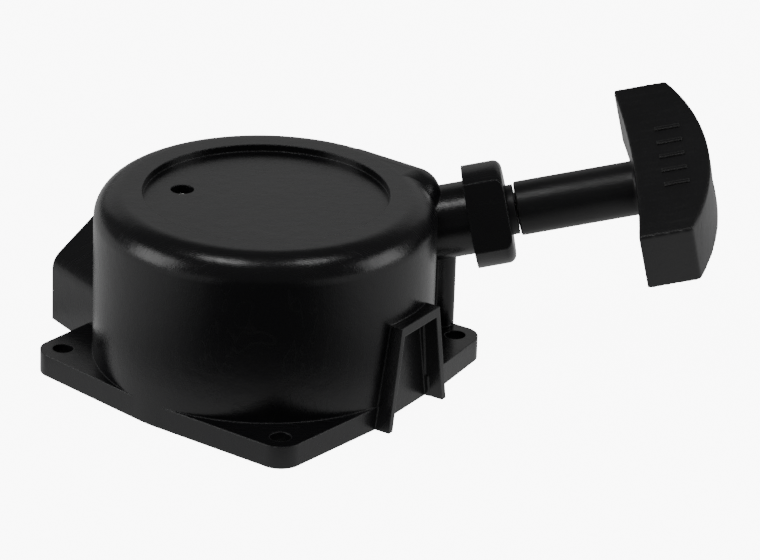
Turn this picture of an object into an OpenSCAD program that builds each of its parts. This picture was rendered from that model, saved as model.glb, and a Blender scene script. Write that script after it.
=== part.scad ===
// Recoil starter for a small two-stroke engine.
// Origin: reel axis on the engine face of the flange. +Z points from the engine to the cap,
// +X is the side on which the rope leaves.

/* [Drum] */
// Outer radius of the drum
drum_r = 45; // [44:0.5:47]
// Height of the cap above the engine face
drum_h = 51.5; // [51:0.1:53]
// Radius of the rounded edge round the cap
edge_r = 7.5; // [5:0.5:8]
// Wall thickness of the moulding
wall = 2.5; // [2:0.1:3]
// Radius of the sunk disc in the cap
disc_r = 32.4; // [30:0.1:34]
// Depth of the sunk disc
disc_depth = 2; // [1:0.1:2.2]
// Radius of the drain hole in the disc
drain_r = 3.1; // [2:0.1:4]

/* [Flange] */
// Thickness of the flange
flange_t = 6.2; // [5:0.1:8]
// Distance of the screw holes from the reel axis
hole_pitch_r = 52.7; // [52:0.1:54]
// Radius of each screw hole
hole_r = 2.75; // [2.2:0.05:3]
// Radius of the lug round each screw hole
lug_r = 6.1; // [5.5:0.1:7]
// Radius of the register that centres the starter on the engine
register_r = 43.2; // [43:0.1:43.6]
// Depth of the register
register_t = 3; // [2:0.5:4]

/* [Rope outlet] */
// Upward tilt of the outlet tube
outlet_tilt = 12.4; // [10:0.1:14]
// Outer radius of the outlet tube
tube_r = 9.9; // [9:0.1:10.5]
// Length of the tube from the shoulder to the collar
tube_len = 7.5; // [6:0.5:10]
// Length of the collar that the handle seats against
collar_len = 10.5; // [8:0.5:12]
// Radius of the collar's rounded ends
collar_r = 13.9; // [13:0.1:15]
// Width of the collar across its two flats
collar_w = 20.6; // [20:0.1:22]

/* [Handle] */
// Radius of the handle's stem
stem_r = 7.3; // [6:0.1:8]
// Length of the stem from its seat to the grip
stem_len = 32.4; // [28:0.1:36]
// Length of the grip bar
grip_len = 56; // [50:1:64]
// Thickness of the grip bar
grip_t = 19.6; // [18:0.1:22]
// Depth of the grip bar along the pull at its middle
grip_depth = 21.3; // [20:0.1:23]
// Turn of the grip bar about the rope, from upright
grip_roll = 67.5; // [0:0.5:90]

/* [Mechanism] */
// Diameter of the starter rope
rope_d = 3.2; // [3:0.1:3.4]
// Radius of the groove's floor on the reel
groove_r = 24; // [23:0.5:25]
// Outer radius of the reel's two rims
reel_r = 33.5; // [33:0.1:34]
// Radius of the centre post
post_r = 6; // [5:0.1:6.5]
// Thickness of the mainspring strip
strip_t = 0.5; // [0.4:0.1:0.7]
// Number of half turns of the mainspring
half_turns = 14; // [10:1:14]
// Turn of the friction plate that throws the pawls out
plate_turn = 25; // [20:1:28]
// Swing of each pawl
pawl_swing = 30; // [25:1:32]

/* [Hidden] */
$fn = 96;
gap = 0.3;
// Flat sides stop this far short of the round faces they meet, so that each pair truly crosses
skin = 0.03;

// Levels of the stack along the post, from the engine side upwards
screw_z = 9.5;
washer_z = 13;
post_z = 14.6;
plate_z = 16.4;
plate_t = 1.5;
pawl_z = 19.3;
pawl_t = 3.9;
web_z = 25;
rim_t = 2.4;
groove_w = 7.2;
groove_z = web_z + rim_t;
rope_z = groove_z + groove_w / 2;
reel_top = groove_z + groove_w + rim_t;
cover_z = reel_top + 0.5;
cover_t = 0.8;
strip_z = cover_z + cover_t + 0.4;
strip_w = 7;
ceiling_z = drum_h - disc_depth - wall;
case_r = disc_r;
case_t = 0.8;
cavity_r = drum_r - wall;
cavity_edge = 4;

// Lugs of the flange: right, front, left and back
lug_angles = [13, -84.5, -177.5, 97];

// Rope line: it starts where the outlet leaves the shoulder and runs along the outlet tube
outlet = [47, 20, 35.5];
tube_root = 9;
bush_r = 5;
bush_lip_r = 6.7;
bush_lip = 2;
bush_bore_r = 2.3;
collar_x = tube_len + collar_len;
seat_x = collar_x + bush_lip;
grip_x = seat_x + gap + stem_len;
collar_roll = 19;
rope_r = rope_d / 2;
wrap_r = groove_r + 1.5 * rope_d;

// Shoulder: a wall that leaves the drum almost at a tangent and ends in a rounded corner
shoulder_dir = 52;
shoulder_dist = drum_r + 0.4;
corner_x = 38.8;
corner_y = (shoulder_dist - edge_r - corner_x * cos(shoulder_dir)) / sin(shoulder_dir);
corner = [corner_x, corner_y];

// Web between the flange and the outlet tube, with a rounded edge
web_x = 47.7;
web_r = 3.5;

// Scoop on the front right of the drum
scoop_dir = -34;
scoop_shift = 1.6;
scoop_back = 42.7;
scoop_out = 48;
scoop_top_z = 28;
scoop_plate_t = 2.6;
scoop_top_w = 8.9;
scoop_bottom_w = 13.7;
scoop_fin_t = 1.8;

// Side pocket on the back left of the drum
pocket_dir = 124;
pocket_start = 20;
pocket_end = 57;
pocket_side = 30.6;
pocket_far = 4;
pocket_bend_z = 17.5;
pocket_slope = 38;
pocket_bend_r = 6;

// Screws that hold the spring plate
plate_screw_r = 38.2;
plate_screw_angles = [100, 220, 340];

// Pawl geometry, in the reel's own frame
pivot = [14, 0];
pin_r = 2;
cam_r = 1.2;
cam_arm = [0.5, -7];
turn_ratio = pawl_swing / plate_turn;

function turned(p, a) = [p.x * cos(a) - p.y * sin(a), p.x * sin(a) + p.y * cos(a)];
function polar(r, a) = [r * cos(a), r * sin(a)];
function unit(p) = p / norm(p);

// Point where the straight side of a lug leaves the drum, and where it meets the lug's round end
lug_turn = acos((drum_r - lug_r) / hole_pitch_r);
function lug_points(a) = [
    [0, 0],
    polar(drum_r - skin, a - lug_turn),
    polar(hole_pitch_r, a) + polar(lug_r - skin, a - lug_turn),
    polar(hole_pitch_r, a) + polar(lug_r - skin, a + lug_turn),
    polar(drum_r - skin, a + lug_turn)];

module along_outlet(x = 0) {
    translate(outlet) rotate([0, -outlet_tilt, 0]) translate([x, 0, 0]) children();
}

// A rod along the outlet line, from distance a to distance b
module outlet_rod(a, b, r) {
    along_outlet(a) rotate([0, 90, 0]) cylinder(h = b - a, r = r);
}

module ring(r_out, r_in, z, h) {
    translate([0, 0, z]) difference() {
        cylinder(h = h, r = r_out);
        translate([0, 0, -1]) cylinder(h = h + 2, r = r_in);
    }
}

// ---------------------------------------------------------------- housing

module drum_shape(r, h, edge) {
    cylinder(h = h - edge, r = r);
    cylinder(h = h, r = r - edge);
    translate([0, 0, h - edge]) rotate_extrude() translate([r - edge, 0]) intersection() {
        circle(r = edge);
        square([edge, edge]);
    }
}

module lug(a) {
    linear_extrude(flange_t) polygon(lug_points(a));
    translate(concat(polar(hole_pitch_r, a), 0)) cylinder(h = flange_t, r = lug_r);
}

// Solid corner between the drum and the outlet, with the drum's rounded top edge
module shoulder() {
    top = drum_h - edge_r;
    out = (edge_r - skin) * polar(1, shoulder_dir);
    side = (edge_r - skin) * polar(1, shoulder_dir - 90);
    tangent = polar(shoulder_dist - edge_r, shoulder_dir);
    near = corner + polar(-14, shoulder_dir);
    linear_extrude(top) polygon([[0, 0], tangent, tangent + out, corner + out, corner,
        corner + side, near + side, near]);
    linear_extrude(drum_h - skin) polygon([[0, 0], tangent, corner, near]);
    translate([corner.x, corner.y, 0]) cylinder(h = top, r = edge_r);
    translate([corner.x, corner.y, top]) sphere(r = edge_r);
    translate([corner.x, corner.y, top]) rotate([0, 0, shoulder_dir + 90]) rotate([0, 90, 0])
        cylinder(h = norm(corner - tangent) + 0.5, r = edge_r);
    translate([corner.x, corner.y, top]) rotate([0, 0, shoulder_dir + 180]) rotate([0, 90, 0])
        cylinder(h = 14, r = edge_r);
}

module tube_web() {
    translate([web_x, outlet.y, 0]) cylinder(h = outlet.z, r = web_r);
    translate([30, outlet.y - web_r + skin, 0])
        cube([web_x - 30, 2 * (web_r - skin), outlet.z]);
}

// Side view of one fin: broad at the flange, narrower under the top plate
module scoop_fins() {
    for (side = [-1, 1])
        rotate([90, 0, 90]) linear_extrude(scoop_out) polygon([
            [side * scoop_bottom_w, 0], [side * (scoop_bottom_w - scoop_fin_t), 0],
            [side * (scoop_top_w - scoop_fin_t), scoop_top_z], [side * scoop_top_w, scoop_top_z]]);
}

module scoop_frame(r = 0) {
    rotate([0, 0, scoop_dir]) translate([r, scoop_shift, 0]) children();
}

module scoop() {
    scoop_frame() scoop_fins();
    scoop_frame(drum_r / 2) translate([0, -scoop_top_w, scoop_top_z - scoop_plate_t])
        cube([scoop_out - drum_r / 2, 2 * scoop_top_w, scoop_plate_t]);
}

// Flat sunk panel between the two fins
module scoop_panel_cut() {
    inner_top = scoop_top_w - scoop_fin_t;
    inner_bottom = scoop_bottom_w - scoop_fin_t;
    scoop_frame(scoop_back) rotate([90, 0, 90]) linear_extrude(12) polygon([
        [-inner_bottom, -1], [inner_bottom, -1],
        [inner_top, scoop_top_z - scoop_plate_t], [-inner_top, scoop_top_z - scoop_plate_t]]);
}

module scoop_backing() {
    scoop_frame(scoop_back - wall) translate([0, -scoop_bottom_w, 0])
        cube([3, 2 * scoop_bottom_w, scoop_top_z]);
}

// Side pocket: an upright side that bends into a sloping roof
module pocket_solid(inset, end) {
    side = pocket_side - inset;
    far = pocket_far + inset;
    r = pocket_bend_r - inset;
    turn = 90 - pocket_slope;
    bend_z = pocket_bend_z - inset * tan(turn / 2) - r * tan(turn / 2);
    centre = [side - r, bend_z];
    knee = centre + polar(r, turn);
    ridge_z = knee.y + (knee.x - far) * tan(pocket_slope);
    rotate([0, 0, pocket_dir]) translate([pocket_start, 0, 0]) rotate([90, 0, 90])
        linear_extrude(end - pocket_start) polygon(concat([[far, -inset], [side, -inset]],
            [for (i = [0 : 9]) centre + polar(r, turn * i / 9)], [[far, ridge_z]]));
}

module lug_holes() {
    for (a = lug_angles)
        translate(concat(polar(hole_pitch_r, a), -1)) cylinder(h = flange_t + 2, r = hole_r);
}

// Post that the reel turns on, with the pilot hole for the centre screw
module post() {
    difference() {
        translate([0, 0, post_z]) cylinder(h = ceiling_z + 1 - post_z, r = post_r);
        translate([0, 0, post_z - 1]) cylinder(h = 20, r = 2.05);
    }
}

module plate_bosses() {
    boss_z = cover_z + cover_t;
    for (a = plate_screw_angles) difference() {
        translate(concat(polar(plate_screw_r, a), boss_z))
            cylinder(h = ceiling_z + 1.4 - boss_z, r = 3.6);
        translate(concat(polar(plate_screw_r, a), boss_z - 1)) cylinder(h = 7, r = 1.3);
    }
}

module collar_shape() {
    round_r = 2.2;
    intersection() {
        along_outlet(tube_len) rotate([0, 90, 0]) union() {
            cylinder(h = collar_len - round_r, r = collar_r);
            cylinder(h = collar_len, r = collar_r - round_r);
            translate([0, 0, collar_len - round_r]) rotate_extrude()
                translate([collar_r - round_r, 0]) circle(r = round_r);
        }
        along_outlet(tube_len) rotate([-collar_roll, 0, 0])
            translate([-1, -collar_w / 2, -collar_r - 1])
            cube([collar_len + 2, collar_w, 2 * collar_r + 2]);
    }
}

module housing_outside() {
    drum_shape(drum_r, drum_h, edge_r);
    for (a = lug_angles) lug(a);
    shoulder();
    tube_web();
    scoop();
    pocket_solid(0, pocket_end);
    outlet_rod(-tube_root, tube_len + 1, tube_r);
    collar_shape();
}

module housing() {
    color("#161616") {
        difference() {
            housing_outside();
            difference() {
                translate([0, 0, -1]) drum_shape(cavity_r, ceiling_z + 1, cavity_edge);
                scoop_backing();
            }
            difference() {
                translate([0, 0, -1]) cylinder(h = register_t + 1, r = register_r);
                scoop_backing();
            }
            difference() {
                pocket_solid(wall, pocket_end - wall);
                translate([0, 0, -1]) cylinder(h = drum_h, r = drum_r);
            }
            scoop_panel_cut();
            lug_holes();
            outlet_rod(-tube_root - 6, collar_x + 2, bush_r);
            translate([0, 0, drum_h - disc_depth]) cylinder(h = disc_depth + 1, r = disc_r);
            translate([-22, 5, ceiling_z - 1]) cylinder(h = 8, r = drain_r);
        }
        post();
        intersection() {
            plate_bosses();
            cylinder(h = drum_h, r = drum_r - 1);
        }
    }
}

// ---------------------------------------------------------------- rope and handle

module rope_guide() {
    color("#2a2a2a") difference() {
        union() {
            outlet_rod(-tube_root + 1.5, collar_x, bush_r);
            outlet_rod(collar_x, seat_x, bush_lip_r);
        }
        outlet_rod(-tube_root - 2, seat_x + 2, bush_bore_r);
    }
}

// The rope from the reel's rim to the guide, then along the outlet to the knot in the grip
bend_x = -tube_root + 0.5;
bend = outlet + [bend_x * cos(outlet_tilt), 0, bend_x * sin(outlet_tilt)];
tangent_a = atan2(bend.y, bend.x) + acos(wrap_r / norm([bend.x, bend.y]));
tangent = [wrap_r * cos(tangent_a), wrap_r * sin(tangent_a), rope_z];
run_dir = unit(bend - tangent);
clear_run = sqrt(pow(wrap_r + rope_d + 0.3, 2) - pow(wrap_r, 2));
run_start = tangent + clear_run * run_dir;
run_len = norm(bend - run_start);
knot_x = grip_x + 11;

module rod_between(a, b, r) {
    d = b - a;
    translate(a) rotate([0, acos(d.z / norm(d)), atan2(d.y, d.x)]) cylinder(h = norm(d), r = r);
}

module rope_run() {
    color("#e8e4d8") {
        rod_between(run_start, bend, rope_r);
        translate(bend) sphere(r = rope_r + 0.01);
        outlet_rod(bend_x, knot_x, rope_r);
    }
}

// Outline of the grip seen along its thickness: bowed towards the pull, slightly hollow inside
grip_end_w = 14.1;
grip_bow = grip_depth - grip_end_w + 0.8;
grip_bow_r = (pow(grip_len / 2, 2) + pow(grip_bow, 2)) / (2 * grip_bow);
grip_hollow_r = 208;
grip_waist = 1;

module grip_outline() {
    intersection() {
        translate([grip_depth - grip_bow_r, 0]) circle(r = grip_bow_r, $fn = 180);
        translate([-4, -grip_len / 2]) square([grip_depth + 8, grip_len]);
        difference() {
            translate([-4, -grip_len]) square([60, 2 * grip_len]);
            translate([grip_waist - grip_hollow_r, 0]) circle(r = grip_hollow_r, $fn = 360);
        }
    }
}

module handle_frame(x) {
    along_outlet(x) rotate([-grip_roll, 0, 0]) children();
}

module handle_grip() {
    color("#181818") difference() {
        union() {
            outlet_rod(seat_x + gap, grip_x + 5, stem_r);
            handle_frame(grip_x - grip_waist) rotate([90, 0, 0]) translate([0, 0, -grip_t / 2])
                linear_extrude(grip_t) grip_outline();
        }
        outlet_rod(seat_x - 1, grip_x + 8, 2.2);
        outlet_rod(grip_x + 7, grip_x + grip_depth + 2, 5.2);
    }
}

module handle_washer() {
    color("silver") difference() {
        outlet_rod(grip_x + 7, grip_x + 8.2, 5);
        outlet_rod(grip_x + 6, grip_x + 9, 1.75);
    }
}

// A stopper knot stands in the grip's pocket against the washer
module handle_knot() {
    color("#e8e4d8") difference() {
        along_outlet(grip_x + 11.6) sphere(r = 3.4);
        outlet_rod(grip_x + 6, knot_x, rope_r);
    }
}

module handle_plug() {
    color("#202020") outlet_rod(grip_x + 16, grip_x + 19.9, 5.2);
}

// ---------------------------------------------------------------- spring and its covers

module spring_case() {
    color("silver") difference() {
        ring(case_r, post_r + 0.3, strip_z - 0.2, ceiling_z - strip_z + 0.2);
        ring(case_r - case_t, 0.1, strip_z - 1, ceiling_z - case_t - strip_z + 1);
        translate([0, 0, strip_z - 1]) cylinder(h = ceiling_z - case_t - strip_z + 1, r = 8);
        translate([-22, 5, ceiling_z - 2]) cylinder(h = 4, r = drain_r);
    }
}

// Spiral of half rings about two centres half a pitch apart
spring_r0 = 11.3;
spring_step = 1.35;

module mainspring() {
    color("#5b6068") translate([0, 0, strip_z]) for (i = [0 : half_turns - 1])
        translate([i % 2 == 0 ? 0 : spring_step, 0, 0])
            rotate([0, 0, i % 2 == 0 ? 0 : 180]) rotate_extrude(angle = 180)
            translate([spring_r0 + i * spring_step, 0]) square([strip_t, strip_w]);
}

module spring_plate() {
    color("silver") difference() {
        union() {
            translate([0, 0, cover_z]) cylinder(h = cover_t, r = case_r + 1);
            for (a = plate_screw_angles) {
                translate(concat(polar(plate_screw_r, a), cover_z)) cylinder(h = cover_t, r = 3.4);
                translate([0, 0, cover_z]) rotate([0, 0, a]) translate([20, -3, 0])
                    cube([plate_screw_r - 20, 6, cover_t]);
            }
        }
        translate([0, 0, cover_z - 1]) cylinder(h = 4, r = 11);
        for (a = plate_screw_angles)
            translate(concat(polar(plate_screw_r, a), cover_z - 1)) cylinder(h = 4, r = 1.6);
    }
}

module plate_screws() {
    color("#c0c0c0") for (a = plate_screw_angles) translate(concat(polar(plate_screw_r, a), 0)) {
        difference() {
            translate([0, 0, cover_z - 1.8]) cylinder(h = 1.8, r = 2.6);
            translate([-2, -0.4, cover_z - 2]) cube([4, 0.8, 1]);
        }
        translate([0, 0, cover_z - 0.5]) cylinder(h = 6, r = 1.25);
    }
}

// ---------------------------------------------------------------- reel

module reel() {
    color("#d9d5c8") difference() {
        union() {
            translate([0, 0, web_z]) cylinder(h = rim_t, r = reel_r);
            translate([0, 0, web_z]) cylinder(h = reel_top - web_z, r = groove_r);
            translate([0, 0, reel_top - rim_t]) cylinder(h = rim_t, r = reel_r);
            translate([0, 0, plate_z + plate_t + gap]) cylinder(h = 15, r = 9.2);
            translate([0, 0, reel_top - 2]) cylinder(h = strip_z + strip_w - reel_top + 2, r = 10.4);
            ring(groove_r, groove_r - 1.8, pawl_z, 7);
        }
        ring(groove_r - 2.4, 10.4, web_z + 3, 20);
        cylinder(h = 60, r = 7.5);
        for (a = [0, 180]) rotate([0, 0, a]) {
            translate([pivot.x, 0, web_z - 1]) cylinder(h = 8, r = pin_r);
            pawl_window();
        }
        rotate([0, 0, 200]) translate([17, 0, rope_z]) rotate([0, 90, 0]) cylinder(h = 10, r = 1.8);
        for (a = [30 : 60 : 330]) rotate([0, 0, a]) translate([29, 0, web_z - 1])
            cylinder(h = 30, r = 2);
    }
}

// Gap in the reel's inner rim through which a pawl swings out
module pawl_window() {
    translate([0, 0, pawl_z - 1]) linear_extrude(web_z - pawl_z + 1) polygon([
        [8, -19], [30, -28], [30, 3], [17, 3], [11, -9]]);
}

module reel_bush() {
    color("#a9824b") ring(7.5, post_r + 0.05, plate_z + plate_t + gap,
        strip_z + strip_w - plate_z - plate_t - gap);
}

// Two layers of two turns pressed into each other, with the tail through the groove's floor
module rope_winding() {
    inner = groove_r + 0.02 + rope_r;
    color("#e8e4d8") {
        for (layer = [0, 1], column = [-1, 1]) rotate_extrude()
            translate([inner + layer * 0.94 * rope_d, rope_z + column * 0.94 * rope_r])
            circle(r = rope_r);
        ring(inner + 0.9 * rope_d, inner - 0.4, rope_z - 1.1, 2.2);
        rotate([0, 0, 200]) translate([18.4, 0, rope_z]) rotate([0, 90, 0])
            cylinder(h = inner - 18.4, r = rope_r - 0.1);
    }
}

module reel_knot() {
    color("#e8e4d8") rotate([0, 0, 200]) difference() {
        translate([17.6, 0, rope_z]) sphere(r = 3);
        translate([18.4, 0, rope_z]) rotate([0, 90, 0]) cylinder(h = 8, r = rope_r);
    }
}

// ---------------------------------------------------------------- pawls and friction plate

module pawl_pins() {
    color("silver") for (a = [0, 180]) rotate([0, 0, a]) {
        translate([pivot.x, 0, pawl_z - 0.9]) cylinder(h = web_z + 3 - pawl_z + 0.9, r = pin_r);
    }
}

// Arm seen from above: a round eye at the pivot and a hooked tip that leads the turn
pawl_outline = [[-3.6, 0], [3.6, 0.6], [6.2, -6.5], [8.6, -13.2], [5.6, -14.4], [1.8, -12.6],
    [-1.6, -7.5]];

module pawl() {
    difference() {
        translate([pivot.x, 0, 0]) union() {
            translate([0, 0, pawl_z]) cylinder(h = pawl_t, r = 3.6);
            translate([0, 0, pawl_z]) linear_extrude(pawl_t) polygon(pawl_outline);
            translate([cam_arm.x, cam_arm.y, plate_z]) cylinder(h = pawl_z - plate_z + 1, r = cam_r);
        }
        translate([pivot.x, 0, pawl_z - 1]) cylinder(h = 8, r = pin_r + 0.06);
    }
}

module pawl_a() { color("#6d7075") pawl(); }

module pawl_b() { color("#6d7075") rotate([0, 0, 180]) pawl(); }

// Torsion spring round the pin: two coils joined by their riser, and two straight legs
module pawl_spring() {
    wire = 0.35;
    rise = 0.8;
    z = pawl_z + pawl_t + 0.5;
    translate([pivot.x, 0, z]) {
        for (i = [0, 1]) translate([0, 0, i * rise]) rotate_extrude() translate([2.7, 0])
            circle(r = wire);
        rotate([0, 0, 45]) translate([2.7, 0, 0]) cylinder(h = rise, r = wire - 0.06);
        translate([2.7, 0, rise]) rotate([-90, 0, 0]) cylinder(h = 5.5, r = wire - 0.06);
        translate([-2.7, 0, 0]) rotate([90, 0, 0]) cylinder(h = 6, r = wire - 0.06);
    }
}

module pawl_spring_a() { color("#8b8f96") pawl_spring(); }

module pawl_spring_b() { color("#8b8f96") rotate([0, 0, 180]) pawl_spring(); }

// Path of a pawl's cam peg over the plate while the plate turns and the pawl swings
function peg(t) = turned([pivot.x, 0] + turned(cam_arm, turn_ratio * t), -t);

module friction_plate() {
    steps = 10;
    color("#9aa0a6") difference() {
        union() {
            translate([0, 0, plate_z]) cylinder(h = plate_t, r = 12.5);
            for (a = [0, 180]) rotate([0, 0, a]) translate([0, 0, plate_z]) linear_extrude(plate_t)
                polygon([[8, 4], [17, -1], [21.5, -6], [20.5, -16], [12, -18.5], [2, -12]]);
        }
        translate([0, 0, plate_z - 1]) cylinder(h = 4, r = post_r + 0.06);
        for (a = [0, 180], i = [0 : steps]) rotate([0, 0, a])
            translate(concat(peg(i * plate_turn / steps), plate_z - 1))
            cylinder(h = 4, r = cam_r + 0.35, $fn = 48);
    }
}

module friction_spring() {
    color("#8b8f96") rotate_extrude() polygon([[post_r + 0.12, post_z + 0.1],
        [post_r + 0.12, post_z + 0.6], [10.6, plate_z - 0.1], [10.6, plate_z - 0.6]]);
}

module thrust_washer() {
    color("silver") ring(11, 2.1, washer_z, post_z - washer_z);
}

module centre_screw() {
    color("#c0c0c0") {
        translate([0, 0, screw_z]) cylinder(h = washer_z - screw_z - 0.8, r = 4.6, $fn = 6);
        translate([0, 0, washer_z - 0.8]) cylinder(h = 0.8, r = 5.6);
        translate([0, 0, washer_z - 0.4]) cylinder(h = 19, r = 2);
    }
}

housing();
rope_guide();
spring_case();
mainspring();
spring_plate();
plate_screws();
centre_screw();
thrust_washer();
friction_spring();
reel();
reel_bush();
rope_winding();
reel_knot();
pawl_pins();
pawl_spring_a();
pawl_spring_b();
pawl_a();
pawl_b();
friction_plate();
rope_run();
handle_grip();
handle_washer();
handle_knot();
handle_plug();
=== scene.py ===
import math

import bpy
import bmesh
from mathutils import Matrix, Vector


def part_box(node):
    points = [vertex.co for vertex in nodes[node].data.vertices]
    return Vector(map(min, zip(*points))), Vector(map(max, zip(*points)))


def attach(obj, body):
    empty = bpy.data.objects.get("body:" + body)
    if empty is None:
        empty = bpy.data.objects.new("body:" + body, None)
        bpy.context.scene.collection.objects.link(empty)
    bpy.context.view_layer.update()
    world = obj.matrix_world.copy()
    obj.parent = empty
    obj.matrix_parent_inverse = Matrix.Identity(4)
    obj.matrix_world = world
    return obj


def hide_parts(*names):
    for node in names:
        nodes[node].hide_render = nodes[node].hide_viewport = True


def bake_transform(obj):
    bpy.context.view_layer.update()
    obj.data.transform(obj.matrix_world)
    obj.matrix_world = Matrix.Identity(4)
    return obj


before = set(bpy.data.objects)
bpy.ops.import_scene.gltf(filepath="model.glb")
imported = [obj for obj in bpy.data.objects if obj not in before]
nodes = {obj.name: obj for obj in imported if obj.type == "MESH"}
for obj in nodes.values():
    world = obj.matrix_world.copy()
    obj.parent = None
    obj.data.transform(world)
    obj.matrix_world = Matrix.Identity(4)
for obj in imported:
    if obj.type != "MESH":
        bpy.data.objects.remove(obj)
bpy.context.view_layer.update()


# ---------------------------------------------------------------- table top, lights and camera
# The starter stands on plain white paper. A wide panel behind it, two small boxes overhead and a
# panel at each side light it, which is what a glossy black moulding needs to show its form.

sweep_half, sweep_z = 3.0, -0.0004
floor_mesh = bpy.data.meshes.new("sweep")
sweep = bmesh.new()
corners = [sweep.verts.new((x * sweep_half, y * sweep_half, sweep_z))
           for x, y in ((-1, -1), (1, -1), (1, 1), (-1, 1))]
sweep.faces.new(corners)
sweep.to_mesh(floor_mesh)
sweep.free()
floor = bpy.data.objects.new("sweep", floor_mesh)
bpy.context.scene.collection.objects.link(floor)


def link(tree, source, target):
    tree.links.new(source, target)


def math_node(tree, operation, *values, clamp=False):
    """A Math node fed with sockets or plain numbers, as its output socket."""
    node = tree.nodes.new("ShaderNodeMath")
    node.operation = operation
    node.use_clamp = clamp
    for slot, value in enumerate(values):
        if isinstance(value, (int, float)):
            node.inputs[slot].default_value = value
        else:
            link(tree, value, node.inputs[slot])
    return node.outputs[0]


def smooth_fade(tree, value, start, end, first, last):
    """first where value is below start, last where it is above end, and smooth between them."""
    node = tree.nodes.new("ShaderNodeMapRange")
    node.interpolation_type = "SMOOTHSTEP"
    for label, number in (("From Min", start), ("From Max", end),
                          ("To Min", first), ("To Max", last)):
        node.inputs[label].default_value = number
    link(tree, value, node.inputs["Value"])
    return node.outputs["Result"]


sweep_material = bpy.data.materials.new("sweep_paper")
sweep_material.use_nodes = True
floor_mesh.materials.append(sweep_material)
paper_tree = sweep_material.node_tree
paper_shader = paper_tree.nodes["Principled BSDF"]
paper_shader.inputs["Base Color"].default_value = (0.9, 0.9, 0.9, 1)
paper_shader.inputs["Roughness"].default_value = 0.85
paper_shader.inputs["Specular IOR Level"].default_value = 0.15

# Looked at directly, the paper glows white, so it takes no visible shadow.
glow = paper_tree.nodes.new("ShaderNodeEmission")
glow.inputs["Strength"].default_value = 9.0
lit_paper = paper_tree.nodes.new("ShaderNodeAddShader")
link(paper_tree, paper_shader.outputs[0], lit_paper.inputs[0])
link(paper_tree, glow.outputs[0], lit_paper.inputs[1])

# What the part mirrors and is lit by is a glow painted on the paper by position: a painted pool of
# light close to the flange, painted light to the sides and behind, and dark in front, where the
# camera stands. The housing shows it as painted reflections.
paper_spot = paper_tree.nodes.new("ShaderNodeNewGeometry").outputs["Position"]
spread = paper_tree.nodes.new("ShaderNodeSeparateXYZ")
link(paper_tree, paper_spot, spread.inputs["Vector"])
aside = math_node(paper_tree, "ABSOLUTE", spread.outputs["X"])
aside = math_node(paper_tree, "MULTIPLY_ADD", spread.outputs["Y"], 0.45, aside)
painted_glow_aside = smooth_fade(paper_tree, aside, 0.0, 0.11, 0.04, 0.55)
reach = paper_tree.nodes.new("ShaderNodeVectorMath")
reach.operation = "LENGTH"
link(paper_tree, paper_spot, reach.inputs[0])
painted_glow_near_flange = smooth_fade(paper_tree, reach.outputs["Value"], 0.062, 0.092, 0.6, 0.03)
# Painted glow: an emission whose strength is set by position, painting the pools of light that the
# housing mirrors.
painted_reflection_glow = paper_tree.nodes.new("ShaderNodeEmission")
link(paper_tree, math_node(paper_tree, "MAXIMUM", painted_glow_aside, painted_glow_near_flange),
     painted_reflection_glow.inputs["Strength"])

# Camera rays see the evenly white paper; every other ray sees the painted glow.
ray = paper_tree.nodes.new("ShaderNodeLightPath")
by_ray = paper_tree.nodes.new("ShaderNodeMixShader")
link(paper_tree, ray.outputs["Is Camera Ray"], by_ray.inputs["Fac"])
link(paper_tree, painted_reflection_glow.outputs[0], by_ray.inputs[1])
link(paper_tree, lit_paper.outputs[0], by_ray.inputs[2])
link(paper_tree, by_ray.outputs[0], paper_tree.nodes["Material Output"].inputs["Surface"])

world = bpy.data.worlds.new("studio")
bpy.context.scene.world = world
world.use_nodes = True
world.node_tree.nodes["Background"].inputs["Color"].default_value = (1, 1, 1, 1)
world.node_tree.nodes["Background"].inputs["Strength"].default_value = 0.1


def softbox(name, place, aim, width, height, watts):
    """A rectangular panel light at place, turned to face aim."""
    data = bpy.data.lights.new(name, "AREA")
    data.shape = "RECTANGLE"
    data.size, data.size_y = width, height
    data.energy = watts
    lamp = bpy.data.objects.new(name, data)
    lamp.location = place
    lamp.rotation_mode = "QUATERNION"
    lamp.rotation_quaternion = (Vector(aim) - Vector(place)).to_track_quat("-Z", "Y")
    bpy.context.scene.collection.objects.link(lamp)


drum_middle = (0.0, 0.0, 0.03)
softbox("back_panel", (0.0, 1.6, 0.75), drum_middle, 2.6, 1.0, 2.4)
softbox("overhead_left", (-0.3, -0.25, 1.0), drum_middle, 0.3, 0.2, 1.6)
softbox("overhead_right", (0.35, -0.2, 1.0), drum_middle, 0.22, 0.2, 1.0)
softbox("left_panel", (-0.9, -0.2, 0.25), drum_middle, 0.5, 0.6, 3.0)
softbox("right_panel", (0.95, -0.1, 0.25), drum_middle, 0.5, 0.6, 2.4)

# A long lens, 24 degrees above the table, panned a little to the right and rolled a little.
camera_place = Vector((0.0, -1.08626, 0.5111))
look_down, look_right, roll = math.radians(24.01), 0.028, 0.0345
forward = Vector((math.sin(look_right) * math.cos(look_down),
                  math.cos(look_right) * math.cos(look_down), -math.sin(look_down)))
level_right = Vector((math.cos(look_right), -math.sin(look_right), 0))
level_up = level_right.cross(forward)
view_right = math.cos(roll) * level_right + math.sin(roll) * level_up
view_up = -math.sin(roll) * level_right + math.cos(roll) * level_up
camera_data = bpy.data.cameras.new("camera")
camera_data.sensor_width = 36
camera_data.lens = 214.2
camera_data.clip_start, camera_data.clip_end = 0.05, 20
camera = bpy.data.objects.new("camera", camera_data)
camera.matrix_world = Matrix.Translation(camera_place) @ Matrix(
    (view_right, view_up, -forward)).transposed().to_4x4()
bpy.context.scene.collection.objects.link(camera)
bpy.context.scene.camera = camera


# ---------------------------------------------------------------- housing
# One injection moulding in gloss black glass-filled nylon: drum, flange, outlet tube, scoop and
# side pocket. The surface has a faint orange peel, fine handling scratches and duller edges.

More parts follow.
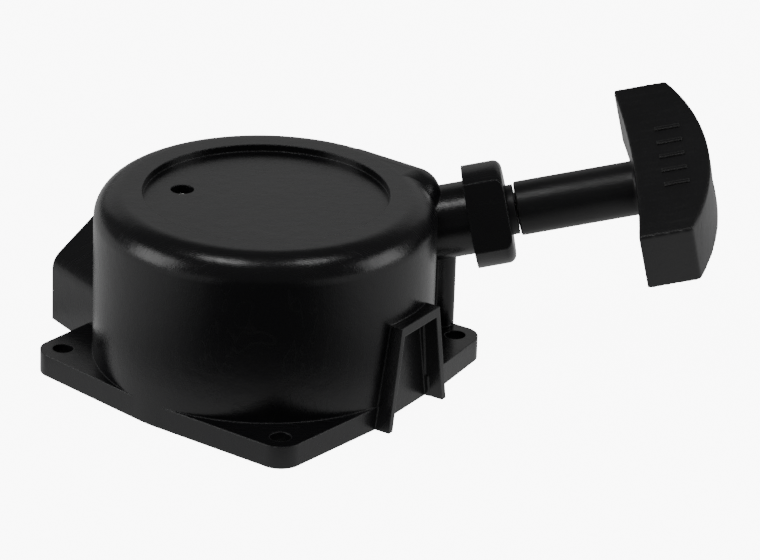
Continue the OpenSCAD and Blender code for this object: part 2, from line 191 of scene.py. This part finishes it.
def shader_group(name, outputs, inputs):
    """An empty node group with the named sockets. Each is (name, default) and a float."""
    group = bpy.data.node_groups.new(name, "ShaderNodeTree")
    for label, default in inputs:
        socket = group.interface.new_socket(label, in_out="INPUT", socket_type="NodeSocketFloat")
        socket.default_value = default
    for label in outputs:
        group.interface.new_socket(label, in_out="OUTPUT", socket_type="NodeSocketFloat")
    entry = group.nodes.new("NodeGroupInput")
    leaving = group.nodes.new("NodeGroupOutput")
    return group, entry, leaving


def noise_node(tree, place, scale, detail=3.0, roughness=0.55):
    """A noise texture on object coordinates. Scale may be a socket or a number."""
    node = tree.nodes.new("ShaderNodeTexNoise")
    node.inputs["Detail"].default_value = detail
    node.inputs["Roughness"].default_value = roughness
    if isinstance(scale, (int, float)):
        node.inputs["Scale"].default_value = scale
    else:
        link(tree, scale, node.inputs["Scale"])
    link(tree, place, node.inputs["Vector"])
    return node.outputs["Fac"]


def object_place(tree):
    return tree.nodes.new("ShaderNodeTexCoord").outputs["Object"]


# Edge wear: how far the surface turns within a small radius, broken up by noise.
edge_wear, wear_in, wear_out = shader_group(
    "edge_wear", ("Wear",), (("Radius", 0.0006), ("Breakup", 900.0), ("Amount", 1.0)))
rounded = edge_wear.nodes.new("ShaderNodeBevel")
rounded.samples = 4
link(edge_wear, wear_in.outputs["Radius"], rounded.inputs["Radius"])
surface = edge_wear.nodes.new("ShaderNodeNewGeometry")
facing = edge_wear.nodes.new("ShaderNodeVectorMath")
facing.operation = "DOT_PRODUCT"
link(edge_wear, rounded.outputs["Normal"], facing.inputs[0])
link(edge_wear, surface.outputs["Normal"], facing.inputs[1])
turned = math_node(edge_wear, "SUBTRACT", 1.0, facing.outputs["Value"], clamp=True)
worn = math_node(edge_wear, "MULTIPLY", turned, 9.0, clamp=True)
broken = noise_node(edge_wear, object_place(edge_wear), wear_in.outputs["Breakup"])
worn = math_node(edge_wear, "MULTIPLY", worn, broken)
link(edge_wear, math_node(edge_wear, "MULTIPLY", worn, wear_in.outputs["Amount"], clamp=True),
     wear_out.inputs["Wear"])

# Moulded skin: a shallow orange peel under a much finer grain.
moulded_skin, skin_in, skin_out = shader_group(
    "moulded_skin", ("Height", "Patch"),
    (("Peel Scale", 260.0), ("Grain Scale", 3200.0), ("Grain", 0.3)))
skin_place = object_place(moulded_skin)
peel = noise_node(moulded_skin, skin_place, skin_in.outputs["Peel Scale"], 2.0)
grain = noise_node(moulded_skin, skin_place, skin_in.outputs["Grain Scale"], 2.0)
grain = math_node(moulded_skin, "MULTIPLY", grain, skin_in.outputs["Grain"])
link(moulded_skin, math_node(moulded_skin, "ADD", peel, grain), skin_out.inputs["Height"])
link(moulded_skin, noise_node(moulded_skin, skin_place, 38.0, 4.0), skin_out.inputs["Patch"])

# Handling scratches: thin lines from two stretched noises.
hairline, hair_in, hair_out = shader_group("hairline_scratches", ("Scratch",), (("Density", 0.5),))
hair_place = object_place(hairline)
lines = None
for turn, stretch in ((0.4, 28.0), (2.1, 36.0)):
    mapping = hairline.nodes.new("ShaderNodeMapping")
    mapping.inputs["Rotation"].default_value = (turn * 0.7, turn * 0.4, turn)
    mapping.inputs["Scale"].default_value = (40.0, 40.0 * stretch, 90.0)
    link(hairline, hair_place, mapping.inputs["Vector"])
    strand = noise_node(hairline, mapping.outputs["Vector"], 1.0, 1.0)
    near = math_node(hairline, "COMPARE", strand, 0.62, 0.012)
    lines = near if lines is None else math_node(hairline, "MAXIMUM", lines, near)
link(hairline, math_node(hairline, "MULTIPLY", lines, hair_in.outputs["Density"], clamp=True),
     hair_out.inputs["Scratch"])


def group_node(tree, group, **values):
    node = tree.nodes.new("ShaderNodeGroup")
    node.node_tree = group
    for label, value in values.items():
        node.inputs[label.replace("_", " ")].default_value = value
    return node


def mixed_colour(tree, factor, first, second):
    """Mix of two colours, each a plain triple or a socket, by a factor socket."""
    node = tree.nodes.new("ShaderNodeMix")
    node.data_type = "RGBA"
    link(tree, factor, node.inputs["Factor"])
    for slot, value in (("A", first), ("B", second)):
        target = next(s for s in node.inputs if s.name == slot and s.type == "RGBA")
        if isinstance(value, tuple):
            target.default_value = (*value, 1)
        else:
            link(tree, value, target)
    return next(s for s in node.outputs if s.type == "RGBA")


def ranged(tree, value, low, high):
    """value from 0..1 spread over low..high."""
    node = tree.nodes.new("ShaderNodeMapRange")
    node.inputs["To Min"].default_value = low
    node.inputs["To Max"].default_value = high
    link(tree, value, node.inputs["Value"])
    return node.outputs["Result"]


def bumped(tree, height, distance):
    """Bump over normals that are rounded off at the edges, as every moulded or tumbled edge is."""
    node = tree.nodes.new("ShaderNodeBump")
    softened = tree.nodes.new("ShaderNodeBevel")
    softened.samples = 4
    softened.inputs["Radius"].default_value = 0.0005
    link(tree, softened.outputs["Normal"], node.inputs["Normal"])
    node.inputs["Distance"].default_value = distance
    node.inputs["Strength"].default_value = 1.0
    link(tree, height, node.inputs["Height"])
    return node.outputs["Normal"]


def moulded_plastic(name, dark, pale, gloss_low, gloss_high, peel_depth, grain=0.3, scratches=0.4,
                    wear_tint=(0.11, 0.11, 0.115)):
    """Black or natural moulded plastic: patchy gloss, orange peel, scuffs on the edges."""
    material = bpy.data.materials.new(name)
    material.use_nodes = True
    tree = material.node_tree
    shader = tree.nodes["Principled BSDF"]
    shader.inputs["Specular IOR Level"].default_value = 0.5
    skin = group_node(tree, moulded_skin, Grain=grain)
    wear = group_node(tree, edge_wear, Amount=0.7)
    hair = group_node(tree, hairline, Density=scratches)
    base = mixed_colour(tree, skin.outputs["Patch"], dark, pale)
    link(tree, mixed_colour(tree, wear.outputs["Wear"], base, wear_tint),
         shader.inputs["Base Color"])
    gloss = ranged(tree, skin.outputs["Patch"], gloss_low, gloss_high)
    gloss = math_node(tree, "MULTIPLY_ADD", hair.outputs["Scratch"], 0.16, gloss)
    gloss = math_node(tree, "MULTIPLY_ADD", wear.outputs["Wear"], 0.25, gloss, clamp=True)
    link(tree, gloss, shader.inputs["Roughness"])
    link(tree, bumped(tree, skin.outputs["Height"], peel_depth), shader.inputs["Normal"])
    return material


def finish_node(node, material):
    """Gives a CAD node its material in place of the plain one it was loaded with."""
    mesh = nodes[node].data
    mesh.materials.clear()
    mesh.materials.append(material)


housing_black = moulded_plastic(
    "housing_black", (0.006, 0.006, 0.007), (0.011, 0.011, 0.012),
    gloss_low=0.17, gloss_high=0.27, peel_depth=0.00006, grain=0.55)
finish_node("housing", housing_black)


# ---------------------------------------------------------------- rope guide
# A satin black acetal bush pressed into the outlet tube. Its lip shows as a dark ring between the
# collar and the handle.

guide_black = moulded_plastic(
    "guide_black", (0.008, 0.008, 0.009), (0.014, 0.014, 0.015),
    gloss_low=0.34, gloss_high=0.46, peel_depth=0.00002, grain=0.5, scratches=0.2)
finish_node("rope_guide", guide_black)


# ---------------------------------------------------------------- handle
# Stem and T grip are one moulding in satin black nylon with a fine spark-eroded grain. A plug of
# the same plastic closes the pocket over the knot.

handle_black = moulded_plastic(
    "handle_black", (0.007, 0.007, 0.008), (0.013, 0.013, 0.014),
    gloss_low=0.27, gloss_high=0.4, peel_depth=0.00005, grain=0.9, scratches=0.6,
    wear_tint=(0.14, 0.14, 0.14))
finish_node("handle_grip", handle_black)
finish_node("handle_plug", handle_black)

# Pull direction: the outlet's axis, tilted up. The grip's bar is turned about it from upright.
outlet_tilt, grip_roll = math.radians(12.4), math.radians(67.5)
pull = Vector((math.cos(outlet_tilt), 0, math.sin(outlet_tilt)))
upright = Vector((-math.sin(outlet_tilt), 0, math.cos(outlet_tilt)))
bar = math.cos(grip_roll) * upright + math.sin(grip_roll) * Vector((0, 1, 0))
face_out = math.sin(grip_roll) * upright - math.cos(grip_roll) * Vector((0, 1, 0))
outlet_start = Vector((0.047, 0.020, 0.0355))
grip_inner, grip_thick = 0.0527, 0.0196


def raised_pad(name, outline, height, bevel, place, along, across, out, body, material):
    """A flat boss of the given outline, standing height above place and rounded over on top."""
    mesh = bpy.data.meshes.new(name)
    shape = bmesh.new()
    ring = [shape.verts.new((x, y, 0)) for x, y in outline]
    face = shape.faces.new(ring)
    raised = bmesh.ops.extrude_face_region(shape, geom=[face])
    top = [v for v in raised["geom"] if isinstance(v, bmesh.types.BMVert)]
    bmesh.ops.translate(shape, verts=top, vec=(0, 0, height))
    bmesh.ops.recalc_face_normals(shape, faces=shape.faces)
    shape.to_mesh(mesh)
    shape.free()
    piece = bpy.data.objects.new(name, mesh)
    piece.matrix_world = Matrix.Translation(place) @ Matrix(
        (along, across, out)).transposed().to_4x4()
    bpy.context.scene.collection.objects.link(piece)
    rounding = piece.modifiers.new("rounded_over", "BEVEL")
    rounding.width, rounding.segments, rounding.limit_method = bevel, 3, "ANGLE"
    mesh.materials.append(material)
    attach(piece, body)
    return piece


# The grip's moulded edges are rounded over, so its skin is rebuilt finely and eased at the corners.
grip_skin = nodes["handle_grip"].modifiers.new("moulded_skin", "REMESH")
grip_skin.mode, grip_skin.voxel_size, grip_skin.use_smooth_shade = "VOXEL", 0.0004, True
eased = nodes["handle_grip"].modifiers.new("eased_edges", "SMOOTH")
eased.factor, eased.iterations = 0.5, 10

# Five plain raised ribs on the grip's upper face give the thumb a hold.
pad_sink, pad_height, rib_inset, rib_pitch = 0.0003, 0.0007, 0.0105, 0.0052
rib_outline = [(-0.0034, -0.0006), (0.0034, -0.0006), (0.0034, 0.0006), (-0.0034, 0.0006)]
for count in range(5):
    rib_place = (outlet_start + pull * (grip_inner + rib_inset) + bar * (count - 2) * rib_pitch
                 + face_out * (grip_thick / 2 - pad_sink))
    raised_pad("grip_rib_%d" % (count + 1), rib_outline, pad_height, 0.00018, rib_place, pull, bar,
               face_out, "handle", handle_black)


# ---------------------------------------------------------------- starter rope
# Braided nylon cord, 3.2 mm. The run goes from the reel's rim through the guide and the stem to
# its knot in the grip. The windings lie on the reel.

def braided_cord(name, pale, shadow, plait, lean):
    """Woven nylon: two sets of strands crossing round the cord, each rounded by the bump."""
    material = bpy.data.materials.new(name)
    material.use_nodes = True
    tree = material.node_tree
    shader = tree.nodes["Principled BSDF"]
    shader.inputs["Sheen Weight"].default_value = 0.25
    shader.inputs["Sheen Roughness"].default_value = 0.4
    shader.inputs["Specular IOR Level"].default_value = 0.3
    strands = None
    for side in (1, -1):
        mapping = tree.nodes.new("ShaderNodeMapping")
        mapping.inputs["Rotation"].default_value = (lean * side, lean * 0.6, lean * side)
        link(tree, object_place(tree), mapping.inputs["Vector"])
        wave = tree.nodes.new("ShaderNodeTexWave")
        wave.inputs["Scale"].default_value = plait
        wave.inputs["Distortion"].default_value = 0.6
        wave.inputs["Detail Scale"].default_value = 3.0
        link(tree, mapping.outputs["Vector"], wave.inputs["Vector"])
        strands = wave.outputs["Fac"] if strands is None else math_node(
            tree, "MAXIMUM", strands, wave.outputs["Fac"])
    fibre = noise_node(tree, object_place(tree), 5200.0, 2.0)
    soil = noise_node(tree, object_place(tree), 120.0, 4.0)
    woven = mixed_colour(tree, strands, shadow, pale)
    dirty = ranged(tree, soil, 0.0, 0.4)
    link(tree, mixed_colour(tree, dirty, woven, (0.34, 0.31, 0.26)), shader.inputs["Base Color"])
    link(tree, ranged(tree, fibre, 0.62, 0.85), shader.inputs["Roughness"])
    height = math_node(tree, "MULTIPLY_ADD", fibre, 0.25, strands)
    link(tree, bumped(tree, height, 0.00025), shader.inputs["Normal"])
    return material


rope_white = braided_cord("rope_white", (0.78, 0.75, 0.68), (0.4, 0.37, 0.31), 260.0, 0.7)
for rope_node in ("rope_winding", "reel_knot", "handle_knot"):
    finish_node(rope_node, rope_white)

# The run's line: along the tangent from the winding to the guide's inner mouth, then straight along
# the outlet to the knot. It starts where it is clear of the winding, so the first part isn't drawn.
rope_radius, groove_radius = 0.0016, 0.024
wrap_radius = groove_radius + 3 * rope_radius
winding_low, winding_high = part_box("rope_winding")
rope_level = winding_low.z / 2 + winding_high.z / 2
mouth_depth, knot_depth, lip_ahead = 0.0085, 0.0109, 0.0195
mouth = outlet_start - pull * mouth_depth
leave_angle = math.atan2(mouth.y, mouth.x) + math.acos(wrap_radius / mouth.xy.length)
leave = Vector((wrap_radius * math.cos(leave_angle), wrap_radius * math.sin(leave_angle),
                rope_level))
clear_of_winding = math.sqrt((wrap_radius + 2 * rope_radius + 0.0003) ** 2 - wrap_radius ** 2)
run_start = leave + (mouth - leave).normalized() * clear_of_winding
knot_end = outlet_start + pull * (grip_inner + knot_depth)


def rope_line(start, corner, end, bend_length, step):
    """Points from start to end, with the corner eased into a short curve."""
    before = corner + (start - corner).normalized() * bend_length
    after = corner + (end - corner).normalized() * bend_length
    points = [start.lerp(before, i / 8) for i in range(8)]
    points += [before.lerp(corner, t / 6).lerp(corner.lerp(after, t / 6), t / 6)
               for t in range(6)]
    count = max(2, int((end - after).length / step))
    points += [after.lerp(end, i / count) for i in range(count + 1)]
    return points


def laid_cord(name, points, radius, sides, relief, pitch):
    """A tube along points whose strands stand slightly proud in two crossing helices."""
    mesh = bpy.data.meshes.new(name)
    cord = bmesh.new()
    rings, travelled = [], 0.0
    for i, point in enumerate(points):
        ahead, behind = points[min(i + 1, len(points) - 1)], points[max(i - 1, 0)]
        along = (ahead - behind).normalized()
        across = Vector((0, 0, 1)).cross(along).normalized()
        other = along.cross(across)
        travelled += (point - behind).length
        ring = []
        for k in range(sides):
            turn = 2 * math.pi * k / sides
            twist = 2 * math.pi * travelled / pitch
            weave = abs(math.sin(4 * turn + twist)) + abs(math.sin(4 * turn - twist))
            r = radius * (1 - relief + relief * weave / 2)
            ring.append(cord.verts.new(point + (across * math.cos(turn)
                                                + other * math.sin(turn)) * r))
        rings.append(ring)
    for first, second in zip(rings, rings[1:]):
        for k in range(sides):
            cord.faces.new((first[k], first[(k + 1) % sides],
                            second[(k + 1) % sides], second[k]))
    cord.faces.new(list(reversed(rings[0])))
    cord.faces.new(rings[-1])
    bmesh.ops.recalc_face_normals(cord, faces=cord.faces)
    for face in cord.faces:
        face.smooth = len(face.verts) == 4
    cord.to_mesh(mesh)
    cord.free()
    piece = bpy.data.objects.new(name, mesh)
    bpy.context.scene.collection.objects.link(piece)
    return piece


run_points = rope_line(run_start, mouth, knot_end, bend_length=0.0015, step=0.0004)
rope = laid_cord("starter_rope", run_points, rope_radius, sides=24, relief=0.05, pitch=0.0064)
rope.data.materials.append(rope_white)
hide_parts("rope_run")
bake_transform(rope)


# ---------------------------------------------------------------- spring case, plate and screws
# Pressings in zinc-plated steel, brushed in the rolling direction: a cup over the mainspring, its
# cover plate with three ears, washers, and slotted or hexagon screws of the same finish.

def plated_steel(name, bright, dull, rough_low, rough_high, brush=(60.0, 2400.0, 2400.0),
                 depth=0.000015, rust=(0.16, 0.1, 0.06), rust_amount=0.1):
    """Metal with rolled or turned lines, a cloudy patina, bright edges and a little staining."""
    material = bpy.data.materials.new(name)
    material.use_nodes = True
    tree = material.node_tree
    shader = tree.nodes["Principled BSDF"]
    shader.inputs["Metallic"].default_value = 1.0
    mapping = tree.nodes.new("ShaderNodeMapping")
    mapping.inputs["Scale"].default_value = brush
    link(tree, object_place(tree), mapping.inputs["Vector"])
    rolled = noise_node(tree, mapping.outputs["Vector"], 1.0, 2.0)
    cloud = noise_node(tree, object_place(tree), 90.0, 5.0)
    stain = noise_node(tree, object_place(tree), 240.0, 6.0, 0.7)
    base = mixed_colour(tree, cloud, dull, bright)
    stained = math_node(tree, "SUBTRACT", stain, 0.56, clamp=True)
    stained = math_node(tree, "MULTIPLY", stained, rust_amount * 12, clamp=True)
    base = mixed_colour(tree, stained, base, rust)
    wear = group_node(tree, edge_wear, Amount=0.6)
    lighter = tuple(min(1.0, c * 1.25) for c in bright)
    link(tree, mixed_colour(tree, wear.outputs["Wear"], base, lighter),
         shader.inputs["Base Color"])
    rough = ranged(tree, cloud, rough_low, rough_high)
    rough = math_node(tree, "MULTIPLY_ADD", rolled, 0.12, rough)
    rough = math_node(tree, "MULTIPLY_ADD", stained, 0.3, rough, clamp=True)
    link(tree, rough, shader.inputs["Roughness"])
    link(tree, bumped(tree, rolled, depth), shader.inputs["Normal"])
    return material


zinc_sheet = plated_steel("zinc_sheet", (0.66, 0.66, 0.64), (0.5, 0.5, 0.49), 0.26, 0.42)
zinc_screw = plated_steel("zinc_screw", (0.7, 0.69, 0.66), (0.55, 0.54, 0.5), 0.22, 0.36,
                          brush=(500.0, 500.0, 3000.0))
for pressing in ("spring_case", "spring_plate", "thrust_washer", "handle_washer",
                 "friction_plate"):
    finish_node(pressing, zinc_sheet)
for screw in ("plate_screws", "centre_screw", "pawl_pins"):
    finish_node(screw, zinc_screw)


# ---------------------------------------------------------------- springs
# The mainspring is a blued strip coiled in the case; the pawl springs and the dished friction
# spring are hard drawn wire and strip with the same dark oil finish.

blued_spring = plated_steel("blued_spring", (0.16, 0.18, 0.23), (0.07, 0.08, 0.11), 0.24, 0.38,
                            brush=(900.0, 900.0, 4000.0), rust_amount=0.06)
for spring in ("mainspring", "friction_spring", "pawl_spring_a", "pawl_spring_b"):
    finish_node(spring, blued_spring)


# ---------------------------------------------------------------- reel and bush
# The reel is moulded in natural nylon, greyed by dust. A sintered bronze
# bush, pressed into its hub, runs on the housing's post.

reel_nylon = moulded_plastic(
    "reel_nylon", (0.62, 0.59, 0.5), (0.74, 0.71, 0.63),
    gloss_low=0.38, gloss_high=0.52, peel_depth=0.00004, grain=0.6, scratches=0.5,
    wear_tint=(0.8, 0.78, 0.72))
finish_node("reel", reel_nylon)
bush_bronze = plated_steel("bush_bronze", (0.58, 0.36, 0.18), (0.4, 0.25, 0.13), 0.34, 0.5,
                           brush=(2200.0, 2200.0, 2200.0), depth=0.00002, rust=(0.12, 0.08, 0.04))
finish_node("reel_bush", bush_bronze)


# ---------------------------------------------------------------- pawls
# Two sintered steel pawls, hardened to a dark grey and rubbed bright on their edges, which the
# friction plate throws out into the engine's cup.

pawl_steel = plated_steel("pawl_steel", (0.3, 0.3, 0.31), (0.17, 0.17, 0.18), 0.36, 0.52,
                          brush=(2600.0, 2600.0, 2600.0), depth=0.00003)
for pawl in ("pawl_a", "pawl_b"):
    finish_node(pawl, pawl_steel)
